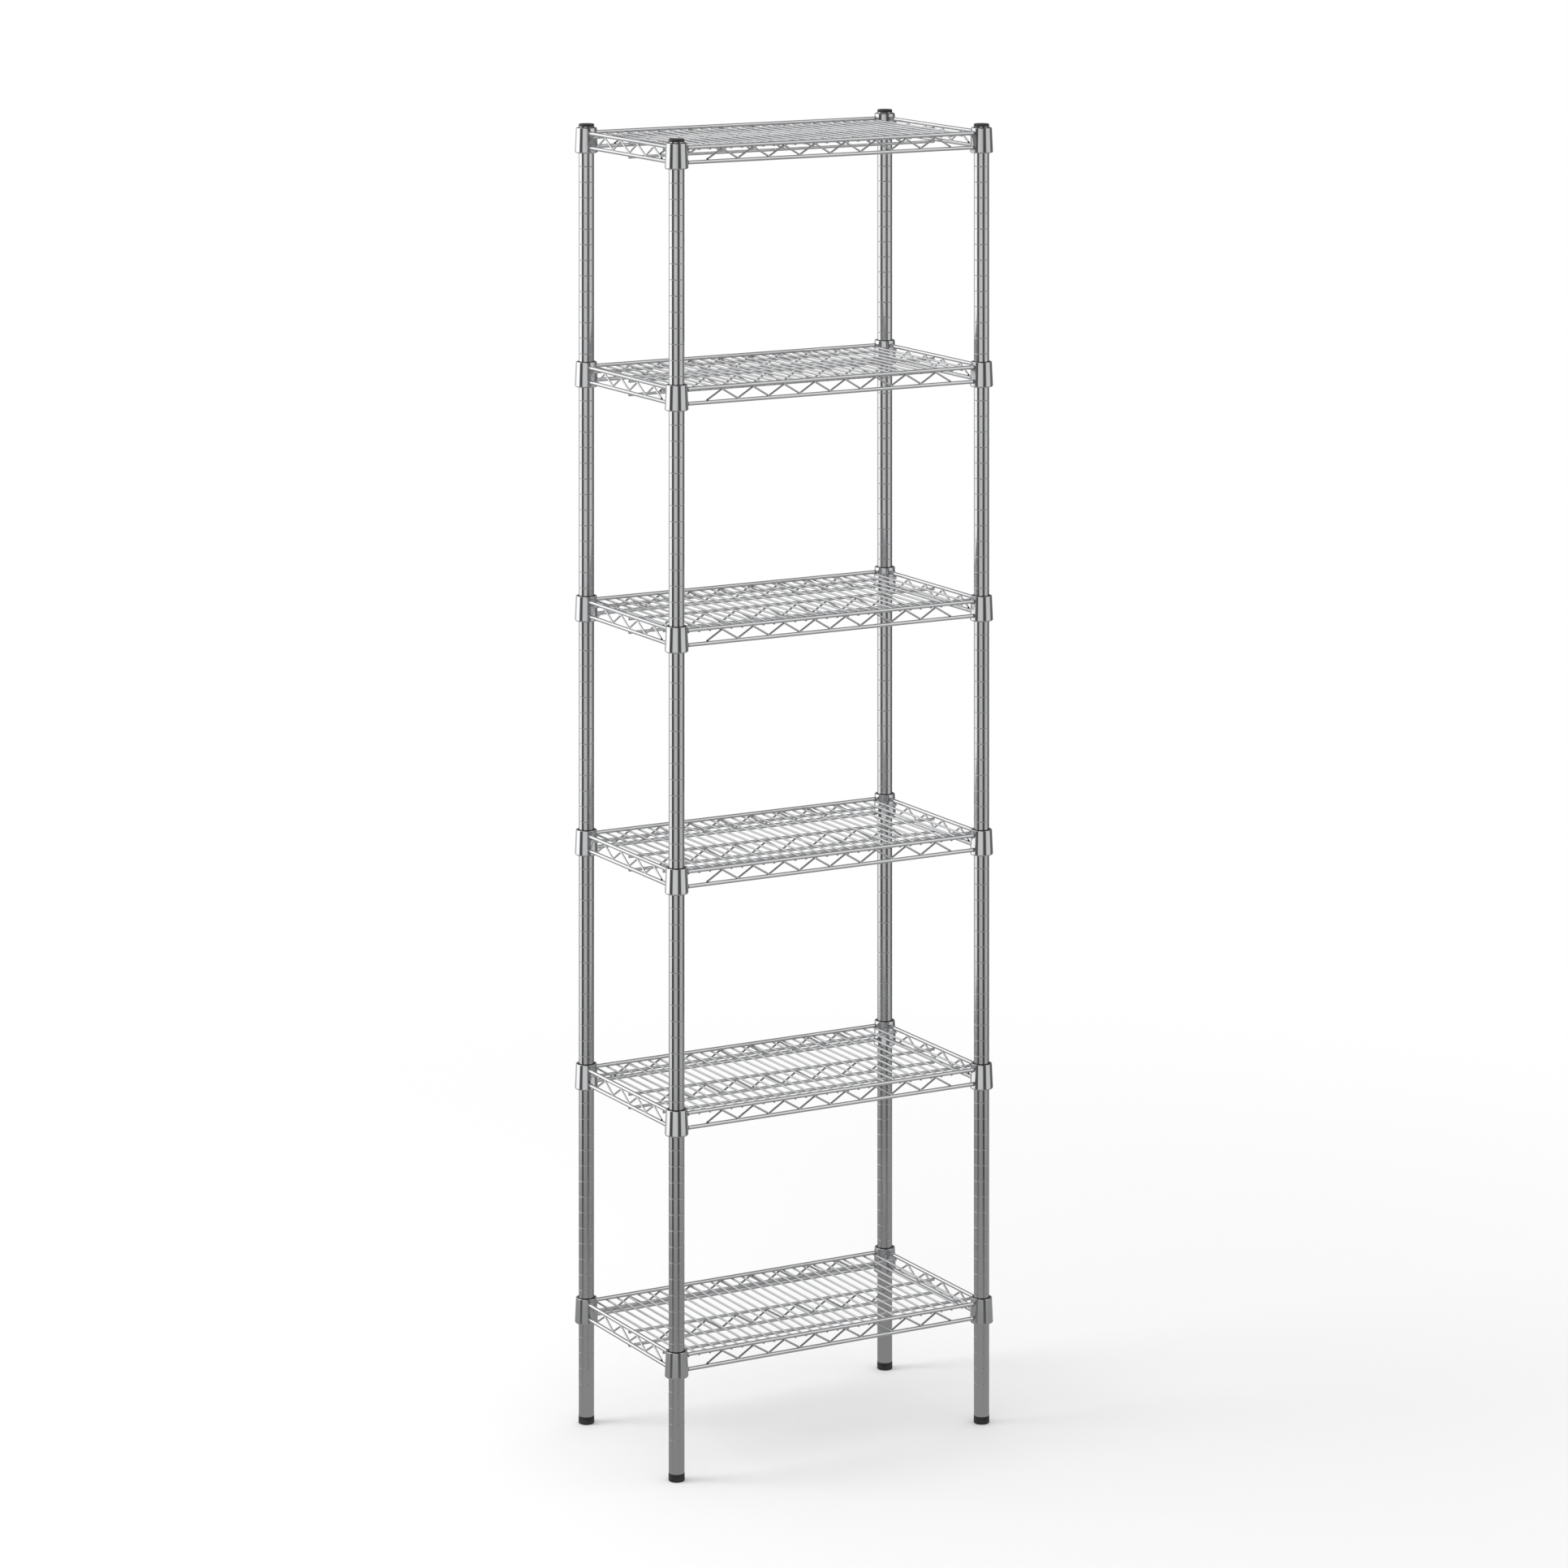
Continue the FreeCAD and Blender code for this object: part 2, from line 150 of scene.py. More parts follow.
# Camera, level and looking along the floor, with its lens shifted down.
CAMERA_PLACE = Vector((-4.210, -7.540, 2.874))
CAMERA_TURN = math.radians(-29.18)
CAMERA_LENS = 121.7
CAMERA_SHIFT = -0.7179
CAMERA_SIDE_SHIFT = -0.00016

# Two black flags of the studio, in degrees to the right of the camera's side.
FLAG_LEFT = (-73, -38)
FLAG_RIGHT = (13, 47)


# ---------------------------------------------------------------- mesh tools


def new_piece(name, verts, faces, body, nodes, materials, cut_faces=()):
    """Make a mesh piece that stands for CAD nodes and rides on a body."""
    mesh = bpy.data.meshes.new(name)
    mesh.from_pydata([tuple(v) for v in verts], [], faces)
    for material in materials:
        mesh.materials.append(material)
    for index in cut_faces:
        mesh.polygons[index].material_index = 1
    work = bmesh.new()
    work.from_mesh(mesh)
    bmesh.ops.remove_doubles(work, verts=work.verts, dist=MERGE_DISTANCE)
    bmesh.ops.recalc_face_normals(work, faces=work.faces)
    work.to_mesh(mesh)
    work.free()
    mesh.shade_smooth()
    mesh.set_sharp_from_angle(angle=SHARP_ANGLE)
    piece = bpy.data.objects.new(name, mesh)
    bpy.context.scene.collection.objects.link(piece)
    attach(piece, body)
    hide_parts(*nodes)
    return piece


class Shape:
    """Vertices and faces of one piece, gathered from several solids."""

    def __init__(self):
        self.verts = []
        self.faces = []
        self.cut = []

    def lathe(self, profile, centre, sides, start=0.0, sweep=ROUND, marked=()):
        """Turn a closed loop of radius and height pairs about a vertical axis.

        Faces that grow from the marked steps of the loop get material two.
        """
        first = len(self.verts)
        count = len(profile)
        full = sweep >= ROUND
        steps = sides if full else sides + 1
        for s in range(steps):
            angle = start + sweep * s / sides
            for radius, height in profile:
                x = centre[0] + radius * math.cos(angle)
                y = centre[1] + radius * math.sin(angle)
                self.verts.append(Vector((x, y, height)))
        for s in range(sides):
            here = first + s * count
            after = first + ((s + 1) % steps) * count
            for i in range(count):
                j = (i + 1) % count
                if i in marked:
                    self.cut.append(len(self.faces))
                self.faces.append((here + i, after + i, after + j, here + j))
        if not full:
            last = first + sides * count
            self.faces.append(tuple(first + i for i in range(count)))
            self.faces.append(tuple(last + i for i in reversed(range(count))))

    def wire(self, path, radii, sides, marked=()):
        """Sweep a circle along a path; both ends are flat cut faces."""
        first = len(self.verts)
        ahead = (path[1] - path[0]).normalized()
        side = ahead.orthogonal().normalized()
        if abs(ahead.z) < 0.9:
            side = ahead.cross(Vector((0, 0, 1))).normalized()
        for i, point in enumerate(path):
            before = path[max(i - 1, 0)]
            following = path[min(i + 1, len(path) - 1)]
            turned = (following - before).normalized()
            side = ahead.rotation_difference(turned) @ side
            ahead = turned
            up = ahead.cross(side)
            for s in range(sides):
                angle = ROUND * s / sides
                spoke = side * math.cos(angle) + up * math.sin(angle)
                self.verts.append(point + spoke * radii[i])
        for i in range(len(path) - 1):
            here = first + i * sides
            for s in range(sides):
                t = (s + 1) % sides
                if i in marked:
                    self.cut.append(len(self.faces))
                self.faces.append(
                    (here + s, here + t, here + sides + t, here + sides + s)
                )
        last = first + (len(path) - 1) * sides
        for ring, order in ((first, -1), (last, 1)):
            self.cut.append(len(self.faces))
            self.faces.append(tuple(ring + s for s in range(sides))[::order])

    def rod(self, start, end, radius, sides):
        """A straight wire whose cut ends have a narrow chamfer."""
        along = (end - start).normalized() * CUT_EDGE
        path = [start, start + along, end - along, end]
        thin = radius - CUT_EDGE
        self.wire(path, [thin, radius, radius, thin], sides)

    def piece(self, name, body, nodes, slot, materials):
        """Turn the gathered solids into one piece."""
        return new_piece(
            name, self.verts, self.faces, body, nodes, materials, self.cut
        )


def arc(centre, radius, start, end, steps):
    """Points on an arc of a profile, as pairs."""
    points = []
    for i in range(steps + 1):
        angle = math.radians(start + (end - start) * i / steps)
        across = centre[0] + radius * math.cos(angle)
        up = centre[1] + radius * math.sin(angle)
        points.append((across, up))
    return points


def middle(node):
    """Centre of a CAD node's box."""
    low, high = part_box(node)
    return (low + high) / 2


# ---------------------------------------------------------------- materials


class Nodes:
    """Short calls for building a node tree."""

    def __init__(self, tree):
        self.tree = tree

    def add(self, kind, **settings):
        node = self.tree.nodes.new(kind)
        for name, value in settings.items():
            setattr(node, name, value)
        return node

    def link(self, source, target):
        self.tree.links.new(source, target)

    def feed(self, socket, value):
        """Give a socket a number, or a link from another node."""
        if isinstance(value, (int, float)):
            socket.default_value = value
        else:
            self.link(value, socket)

    def math(self, operation, *values):
        node = self.add("ShaderNodeMath", operation=operation)
        for socket, value in zip(node.inputs, values):
            self.feed(socket, value)
        return node.outputs[0]

    def span(self, value, low, high, to_low, to_high):
        """Map a value softly from one span to another, clamped."""
        node = self.add("ShaderNodeMapRange", interpolation_type="SMOOTHSTEP")
        self.link(value, node.inputs["Value"])
        for name, number in (
            ("From Min", low),
            ("From Max", high),
            ("To Min", to_low),
            ("To Max", to_high),
        ):
            node.inputs[name].default_value = number
        return node.outputs["Result"]

    def mix(self, share, a, b):
        """Mix two numbers."""
        node = self.add("ShaderNodeMix", data_type="FLOAT")
        for index, value in ((0, share), (2, a), (3, b)):
            self.feed(node.inputs[index], value)
        return node.outputs[0]

    def blend(self, share, first, second):
        """Mix two shaders."""
        node = self.add("ShaderNodeMixShader")
        for socket, source in zip(node.inputs, (share, first, second)):
            self.link(source, socket)
        return node.outputs[0]

    def noise(self, vector, scale, detail):
        """Noise from 0 to 1."""
        node = self.add("ShaderNodeTexNoise")
        node.inputs["Scale"].default_value = scale
        node.inputs["Detail"].default_value = detail
        self.link(vector, node.inputs["Vector"])
        return node.outputs["Fac"]


def new_material(name):
    """A material with a node tree, its shader and its place texture."""
    material = bpy.data.materials.new(name)
    material.use_nodes = True
    nodes = Nodes(material.node_tree)
    shader = material.node_tree.nodes["Principled BSDF"]
    place = nodes.add("ShaderNodeTexCoord").outputs["Object"]
    return material, nodes, shader, place


def stretch(nodes, place, scale):
    """Stretch a texture space by a factor along each axis."""
    node = nodes.add("ShaderNodeMapping")
    node.inputs["Scale"].default_value = scale
    nodes.link(place, node.inputs["Vector"])
    return node.outputs["Vector"]


def bump(nodes, shader, height, distance, lean=0.0):
    """Drive the shader's normal from a height, leaning it up a little."""
    surface = nodes.add("ShaderNodeNewGeometry").outputs["Normal"]
    tilt = nodes.add("ShaderNodeVectorMath", operation="ADD")
    tilt.inputs[1].default_value = (0, 0, lean)
    level = nodes.add("ShaderNodeVectorMath", operation="NORMALIZE")
    nodes.link(surface, tilt.inputs[0])
    nodes.link(tilt.outputs[0], level.inputs[0])
    node = nodes.add("ShaderNodeBump")
    nodes.link(level.outputs[0], node.inputs["Normal"])
    node.inputs["Distance"].default_value = distance
    node.inputs["Strength"].default_value = 1.0
    nodes.link(height, node.inputs["Height"])
    nodes.link(node.outputs["Normal"], shader.inputs["Normal"])


def base_colour(nodes, shader, level, tint=(1, 1, 1)):
    """Drive the base colour from a level, times a tint."""
    colour = nodes.add("ShaderNodeCombineColor")
    for socket, share in zip(colour.inputs, tint):
        nodes.link(nodes.math("MULTIPLY", level, share), socket)
    nodes.link(colour.outputs[0], shader.inputs["Base Color"])


def chrome(name, grain, tone, rough_low, rough_high, ripple, lean=0.0):
    """Bright plating: faint haze, drawing lines and a slight ripple."""
    material, nodes, shader, place = new_material(name)
    shader.inputs["Metallic"].default_value = 1.0
    lines = nodes.noise(stretch(nodes, place, grain), 1.0, 3.0)
    haze = nodes.noise(place, 35.0, 4.0)
    blotch = nodes.noise(place, 6.0, 2.0)
    level = nodes.span(blotch, 0.3, 0.7, tone - 0.03, tone + 0.02)
    base_colour(nodes, shader, level, (1, 1.005, 1.02))
    worn = nodes.math("MULTIPLY", haze, lines)
    nodes.link(
        nodes.span(worn, 0.1, 0.45, rough_low, rough_high), shader.inputs["Roughness"]
    )
    slow = nodes.math("MULTIPLY", nodes.noise(place, 60.0, 1.0), ripple)
    height = nodes.math("ADD", nodes.math("MULTIPLY", lines, 0.05), slow)
    bump(nodes, shader, height, 0.00004, lean)
    return material


def dull_steel_and_shade(name, dark, light):
    """Dull plating of a sheared wire end and of a weld; also steel painted darker as shade
    in a rolled groove, at a weld's join and on a cut truss end.
    """
    material, nodes, shader, place = new_material(name)
    shader.inputs["Metallic"].default_value = 1.0
    torn = nodes.noise(stretch(nodes, place, (2500, 2500, 600)), 1.0, 3.0)
    level = nodes.span(torn, 0.3, 0.7, dark, light)
    base_colour(nodes, shader, level)
    nodes.link(nodes.span(torn, 0.2, 0.8, 0.35, 0.6), shader.inputs["Roughness"])
    bump(nodes, shader, torn, 0.0001)
    return material


def moulded_plastic(name, shade, rough, grain):
    """Black moulded plastic with a fine spark-eroded grain and dust."""
    material, nodes, shader, place = new_material(name)
    fine = nodes.noise(place, grain, 2.0)
    patch = nodes.noise(place, 90.0, 3.0)
    level = nodes.span(patch, 0.3, 0.75, shade * 0.75, shade * 1.5)
    base_colour(nodes, shader, level)
    nodes.link(
        nodes.span(patch, 0.25, 0.75, rough - 0.08, rough + 0.1),
        shader.inputs["Roughness"],
    )
    shader.inputs["Specular IOR Level"].default_value = 0.45
    bump(nodes, shader, fine, 0.00006)
    return material


def zinc():
    """Zinc plated stud with thread-like fine rings."""
    material, nodes, shader, place = new_material("zinc_stud")
    shader.inputs["Metallic"].default_value = 1.0
    rings = nodes.noise(stretch(nodes, place, (40, 40, 1400)), 1.0, 1.0)
    level = nodes.span(rings, 0.3, 0.7, 0.42, 0.62)
    base_colour(nodes, shader, level)
    nodes.link(nodes.span(rings, 0.2, 0.8, 0.28, 0.42), shader.inputs["Roughness"])
    bump(nodes, shader, rings, 0.0002)
    return material


# Plating: grain along each axis, tone, least and most roughness, ripple, and how
# far the normal leans up.
POST_CHROME = chrome("post_plating", (900, 900, 14), 0.64, 0.08, 0.15, 0.2)
COLLAR_CHROME = chrome("collar_plating", (120, 120, 500), 0.67, 0.05, 0.13, 0.5, 0.04)
RAIL_CHROME = chrome("rail_plating", (160, 160, 160), 0.74, 0.02, 0.05, 0.2)
MAT_CHROME = chrome("mat_plating", (160, 160, 160), 0.70, 0.28, 0.38, 0.2)
TRUSS_CHROME = chrome("truss_plating", (160, 160, 160), 0.63, 0.03, 0.08, 0.2)
# Bare or dull steel, and steel painted darker as shade in grooves, at welds and on cut
# truss ends: darkest and lightest tone.
# Cut truss ends: bare cut steel painted near black, as painted shade at the ends.
CUT_STEEL_AND_SHADE = dull_steel_and_shade("cut_truss_end_and_shade", 0.02, 0.08)
SHEARED_STEEL = dull_steel_and_shade("sheared_wire_end", 0.2, 0.4)
# Welds: dull steel, darker also as painted shade where the rail meets the collar.
WELD_AND_SHADE_STEEL = dull_steel_and_shade("weld", 0.28, 0.44)
# Groove hollows: darker steel as painted shade in the grooves.
GROOVE_SHADE_STEEL = dull_steel_and_shade("groove_painted_shade", 0.48, 0.58)
# Plastic: shade, roughness and fineness of the grain.
CAP_PLASTIC = moulded_plastic("cap_plastic", 0.022, 0.42, 2200)
SLEEVE_PLASTIC = moulded_plastic("sleeve_plastic", 0.012, 0.5, 1600)
FOOT_PLASTIC = moulded_plastic("foot_plastic", 0.02, 0.5, 1800)
ZINC = zinc()


# ---------------------------------------------------------------- posts, feet


def groove_rings(radius, height):
    """Profile of one rolled groove, from below to above."""
    # Shares of the half width and of the depth, from one side to the middle.
    side = ((1.45, 0.0), (1.1, 0.0), (0.8, 0.16), (0.5, 0.6), (0.22, 0.95))
    shape = [(-along, depth) for along, depth in side] + list(reversed(side))
    return [
        (radius - depth * GROOVE_DEPTH, height + along * GROOVE_HALF_WIDTH)
        for along, depth in shape
    ]


def post_radius(corner):
    """Outer radius of a post."""
    low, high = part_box(f"post_{corner}")
    return (high.x - low.x) / 2


def make_post(corner):
    """Grooved tube post."""
    node = f"post_{corner}"
    low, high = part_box(node)
    radius = post_radius(corner)
    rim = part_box("shelf_1_collars")[1].z
    lowest = rim - GROOVE_BELOW_RIM - GROOVE_PITCH * (GROOVES_UNDER_FIRST_RIM - 1)
    profile = [(radius - POST_EDGE, low.z), (radius, low.z + POST_EDGE)]
    profile.append((radius, low.z + 2 * POST_EDGE))
    marked = set()
    for i in range(GROOVE_COUNT):
        rings = groove_rings(radius, lowest + GROOVE_PITCH * i)
        # The hollow of the groove is painted darker, as painted shade; its two shoulders
        # are plated.
        marked.update(len(profile) + k for k in range(2, len(rings) - 3))
        profile += rings
    profile += [(radius, high.z - 2 * POST_EDGE), (radius, high.z - POST_EDGE)]
    profile += [(radius - POST_EDGE, high.z)]
    profile += [(radius - POST_WALL, high.z), (radius - POST_WALL, low.z)]
    shape = Shape()
    shape.lathe(profile, middle(node), POST_SIDES, marked=marked)
    materials = [POST_CHROME, GROOVE_SHADE_STEEL]
    shape.piece(f"{node}_tube", "posts", [node], "post_chrome", materials)


def make_cap(corner):
    """Domed cap with a rounded rim and a plug."""
    node = f"post_cap_{corner}"
    low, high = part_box(node)
    radius = (high.x - low.x) / 2
    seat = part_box(f"post_{corner}")[1].z
    plug = post_radius(corner) - POST_WALL - PLUG_GAP
    hollow = plug - CAP_PLUG_WALL
    profile = [(0, seat), (hollow, seat), (hollow, low.z), (plug, low.z)]
    profile += [(plug, seat), (radius - CAP_EDGE, seat), (radius, seat + CAP_EDGE)]
    profile += arc((radius - CAP_LIP, high.z - CAP_DOME), CAP_LIP, 0, 70, 8)
    rim_radius, rim_height = profile[-1]
    for i in range(1, DOME_STEPS + 1):
        share = i / DOME_STEPS
        rise = (high.z - rim_height) * math.sin(share * math.pi / 2)
        profile.append((rim_radius * (1 - share), rim_height + rise))
    shape = Shape()
    shape.lathe(profile, middle(node), POST_SIDES)
    shape.piece(f"{node}_dome", "posts", [node], "cap_plastic", [CAP_PLASTIC])


def make_insert(corner):
    """Plug with a flange and a hole for the stud, at the foot of the tube."""
    node = f"foot_insert_{corner}"
    low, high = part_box(node)
    flange = (high.x - low.x) / 2
    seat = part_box(f"post_{corner}")[0].z
    plug = post_radius(corner) - POST_WALL - PLUG_GAP
    bore = STUD_RADIUS + INSERT_GAP
    profile = [
        (bore, low.z),
        (flange - FOOT_EDGE, low.z),
        (flange, low.z + FOOT_EDGE),
        (flange, seat - FOOT_EDGE),
        (flange - FOOT_EDGE, seat),
        (plug, seat),
        (plug, high.z - INSERT_CHAMFER),
        (plug - INSERT_CHAMFER, high.z),
        (bore, high.z),
    ]
    shape = Shape()
    shape.lathe(profile, middle(f"foot_base_{corner}"), POST_SIDES)
    shape.piece(f"{node}_plug", "posts", [node], "foot_plastic", [FOOT_PLASTIC])


def make_stud(corner):
    """Screw stud with a flat head, which lies in the foot base."""
    node = f"foot_stud_{corner}"
    low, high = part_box(node)
    head = (high.x - low.x) / 2
    head_top = low.z + STUD_HEAD_HEIGHT
    profile = [(0, low.z), (head, low.z), (head, head_top), (STUD_RADIUS, head_top)]
    height = head_top + THREAD_PITCH
    while height < high.z - 1.5 * THREAD_PITCH:
        profile.append((STUD_RADIUS, height))
        profile.append((STUD_RADIUS - THREAD_DEPTH, height + THREAD_PITCH / 2))
        height += THREAD_PITCH
    profile += [(STUD_RADIUS, height), (STUD_RADIUS - STUD_TIP, high.z), (0, high.z)]
    shape = Shape()
    shape.lathe(profile, middle(f"foot_base_{corner}"), STUD_SIDES)
    shape.piece(f"{node}_screw", f"stud_{corner}", [node], "stud_steel", [ZINC])


def make_base(corner):
    """Round foot base, hollow around the head of the stud."""
    node = f"foot_base_{corner}"
    low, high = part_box(node)
    stud_low, stud_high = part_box(f"foot_stud_{corner}")
    radius = (high.x - low.x) / 2
    cavity = (stud_high.x - stud_low.x) / 2 + BASE_GAP
    roof = stud_low.z + STUD_HEAD_HEIGHT + BASE_GAP
    neck = STUD_RADIUS + BASE_GAP
    sole = low.z + BASE_SOLE
    profile = [(0, low.z), (radius - BASE_FLAT_MARGIN, low.z)]
    profile += arc((radius - BASE_ROUND, low.z + BASE_ROUND), BASE_ROUND, -90, 0, 6)
    profile += arc((radius - FOOT_EDGE, high.z - FOOT_EDGE), FOOT_EDGE, 0, 90, 3)
    profile += [(neck, high.z), (neck, roof), (cavity, roof), (cavity, sole), (0, sole)]
    shape = Shape()
    shape.lathe(profile, middle(node), POST_SIDES)
    shape.piece(f"{node}_pad", f"foot_{corner}", [node], "foot_plastic", [FOOT_PLASTIC])


# ---------------------------------------------------------------- shelves


def post_places():
    """Centre of every post."""
    return [middle(f"post_{corner}") for corner in CORNERS]


def make_collars(shelf):
    """Four tapered collars with a bright top edge and a rounded foot."""
    node = f"shelf_{shelf}_collars"
    low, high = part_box(node)
    foot_radius = high.x - middle("post_front_right").x
    bore_top = COLLAR_TOP_RADIUS - COLLAR_WALL
    bore_foot = bore_top + BORE_TAPER * (high.z - low.z)
    shoulder = COLLAR_TOP_RADIUS - COLLAR_TOP_EDGE
    foot_height = low.z + COLLAR_FOOT_ROUND
    foot_centre = foot_radius - COLLAR_FOOT_ROUND
    profile = [(bore_top, high.z), (shoulder, high.z)]
    profile += arc((shoulder, high.z - COLLAR_TOP_EDGE), COLLAR_TOP_EDGE, 70, 0, 5)
    # Two rings close to the rounded edges keep the shading of the wall even.
    wall_top = high.z - COLLAR_TOP_EDGE - 2 * COLLAR_EDGE
    profile.append((COLLAR_TOP_RADIUS + COLLAR_EDGE / 10, wall_top))
    profile.append((foot_radius - COLLAR_EDGE / 10, foot_height + 2 * COLLAR_EDGE))
    profile += arc((foot_centre, foot_height), COLLAR_FOOT_ROUND, 0, -80, 8)
    profile += [(bore_foot + COLLAR_EDGE, low.z), (bore_foot, low.z + COLLAR_EDGE)]
    shape = Shape()
    for centre in post_places():
        shape.lathe(profile, centre, POST_SIDES)
    materials = [COLLAR_CHROME]
    shape.piece(f"{node}_cast", f"shelf_{shelf}", [node], "collar_chrome", materials)


def make_sleeves(shelf):
    """Split plastic sleeves, two halves on each post."""
    node = f"shelf_{shelf}_sleeves"
    low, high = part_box(node)
    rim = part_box(f"shelf_{shelf}_collars")[1].z
    inner = post_radius("front_left") + SLEEVE_POST_GAP
    outer_at_rim = COLLAR_TOP_RADIUS - COLLAR_WALL - SLEEVE_GAP
    top = outer_at_rim - BORE_TAPER * (high.z - rim)
    foot = outer_at_rim + BORE_TAPER * (rim - low.z)
    profile = [
        (inner, low.z),
        (foot, low.z),
        (top, high.z - SLEEVE_EDGE),
        (top - SLEEVE_EDGE, high.z),
        (inner + SLEEVE_EDGE / 2, high.z),
        (inner, high.z - SLEEVE_EDGE / 2),
    ]
    gap = SLEEVE_SPLIT / outer_at_rim
    shape = Shape()
    for centre in post_places():
        for half in range(2):
            start = half * math.pi + gap / 2
            shape.lathe(profile, centre, POST_SIDES // 2, start, math.pi - gap)
    materials = [SLEEVE_PLASTIC]
    shape.piece(f"{node}_halves", "posts", [node], "sleeve_plastic", materials)


def flared_rod(shape, start, end, collar_reach):
    """Rail whose ends swell into a small weld where they meet the collar."""
    along = (end - start).normalized()
    path = []
    radii = []
    for i in range(WELD_STEPS + 1):
        share = i / WELD_STEPS
        path.append(start + along * (collar_reach + WELD_LENGTH * share))
        radii.append(RAIL_RADIUS + WELD_FLARE * (1 - share) ** 2)
    path.insert(0, start)
    radii.insert(0, RAIL_RADIUS)
    path += [end - (p - start) for p in reversed(path)]
    radii += radii[::-1]
    # The flared ends take the weld material: a dull weld, darker also as painted shade at
    # the join.
    flare = len(path) // 2 - 2
    marked = list(range(flare)) + list(range(len(path) - 1 - flare, len(path)))
    shape.wire(path, radii, RAIL_SIDES, marked)


def make_rails(shelf):
    """Upper and lower rails on the four sides."""
    node = f"shelf_{shelf}_rails"
    low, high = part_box(node)
    post = middle("post_back_right")
    reach_x = post.x - RAIL_END_TO_POST
    reach_y = post.y - RAIL_END_TO_POST
    collar_low, collar_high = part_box(f"shelf_{shelf}_collars")
    foot_radius = collar_high.x - post.x
    shape = Shape()
    for height in (high.z - RAIL_RADIUS, low.z + RAIL_RADIUS):
        share = (collar_high.z - height) / (collar_high.z - collar_low.z)
        surface = COLLAR_TOP_RADIUS + (foot_radius - COLLAR_TOP_RADIUS) * share
        inset = surface - RAIL_END_TO_POST - WELD_SINK
        for y in (low.y + RAIL_RADIUS, high.y - RAIL_RADIUS):
            start = Vector((-reach_x, y, height))
            flared_rod(shape, start, Vector((reach_x, y, height)), inset)
        for x in (low.x + RAIL_RADIUS, high.x - RAIL_RADIUS):
            start = Vector((x, -reach_y, height))
            flared_rod(shape, start, Vector((x, reach_y, height)), inset)
    materials = [RAIL_CHROME, WELD_AND_SHADE_STEEL]
    shape.piece(f"{node}_rods", f"shelf_{shelf}", [node], "wire_chrome", materials)


def make_mat(shelf):
    """Mat wires from front to back."""
    node = f"shelf_{shelf}_mat_wires"
    low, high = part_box(node)
    radius = (high.z - low.z) / 2
    height = (high.z + low.z) / 2
    pitch = (high.x - low.x - 2 * radius) / (MAT_COUNT - 1)
    shape = Shape()
    for i in range(MAT_COUNT):
        x = low.x + radius + pitch * i
        start = Vector((x, low.y, height))
        shape.rod(start, Vector((x, high.y, height)), radius, WIRE_SIDES)
    materials = [MAT_CHROME, SHEARED_STEEL]
    shape.piece(f"{node}_rods", f"shelf_{shelf}", [node], "wire_chrome", materials)


def make_supports(shelf):
    """Support wires under the mat, and the keel wire."""
    node = f"shelf_{shelf}_support_wires"
    low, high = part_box(node)
    radius = SUPPORT_RADIUS
    upper = high.z - radius
    places = [
        (low.y + radius, upper),
        (0.0, upper),
        (high.y - radius, upper),
        (0.0, low.z + radius),
    ]
    shape = Shape()
    for y, z in places:
        start = Vector((low.x, y, z))
        shape.rod(start, Vector((high.x, y, z)), radius, WIRE_SIDES)
    materials = [MAT_CHROME, SHEARED_STEEL]
    shape.piece(f"{node}_rods", f"shelf_{shelf}", [node], "wire_chrome", materials)


def zigzag(peaks):
    """Centreline of a truss wire as length and height pairs; peaks at zero."""
    half = TRUSS_PERIOD / 2
    centre_rise = TRUSS_RISE - 2 * TRUSS_BEND
    reach = math.hypot(half, centre_rise)
    slope = math.atan2(centre_rise, half) + math.asin(2 * TRUSS_BEND / reach)
    tilt = math.degrees(slope)
    floor = -TRUSS_RISE + TRUSS_BEND
    points = []
    for i in range(2 * peaks + 1):
        at = half * i
        if i % 2:
            bend = arc((at, -TRUSS_BEND), TRUSS_BEND, 90 + tilt, 90 - tilt, BEND_STEPS)
        else:
            bend = arc((at, floor), TRUSS_BEND, 270 - tilt, 270 + tilt, BEND_STEPS)
        if i == 0:
            bend = bend[-1:]
        if i == 2 * peaks:
            bend = bend[:1]
        points += bend
    # Both ends run on for a short lead past the last bend.
    along = TRUSS_LEAD * math.cos(slope)
    down = TRUSS_LEAD * math.sin(slope)
    first = (points[0][0] - along, points[0][1] - down)
    last = (points[-1][0] + along, points[-1][1] - down)
    return [first] + points + [last]


def truss_wire(shape, points):
    """One zigzag wire whose short end leads are cut steel, painted near black as shade at
    the wire's ends.
    """
    ends = (0, len(points) - 2)
    shape.wire(points, [TRUSS_RADIUS] * len(points), TRUSS_SIDES, ends)


def make_truss(shelf):
    """Zigzag wires on the four sides and on the keel."""
    node = f"shelf_{shelf}_truss_wires"
    low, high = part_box(node)
    side_x = high.x - TRUSS_RADIUS
    side_y = high.y - TRUSS_RADIUS
    peak = high.z - TRUSS_RADIUS
    keel_peak = low.z + TRUSS_RADIUS + TRUSS_RISE
    shape = Shape()
    long_wave = zigzag(LONG_TRUSS_PEAKS)
    short_wave = zigzag(SHORT_TRUSS_PEAKS)
    half_short = TRUSS_PERIOD * SHORT_TRUSS_PEAKS / 2
    for y, z in ((-side_y, peak), (side_y, peak), (0.0, keel_peak)):
        points = [Vector((a - LONG_TRUSS_START, y, z + b)) for a, b in long_wave]
        truss_wire(shape, points)
    for x in (-side_x, side_x):
        points = [Vector((x, a - half_short, peak + b)) for a, b in short_wave]
        truss_wire(shape, points)
    materials = [TRUSS_CHROME, CUT_STEEL_AND_SHADE]
    shape.piece(f"{node}_bent", f"shelf_{shelf}", [node], "wire_chrome", materials)


# ---------------------------------------------------------------- studio


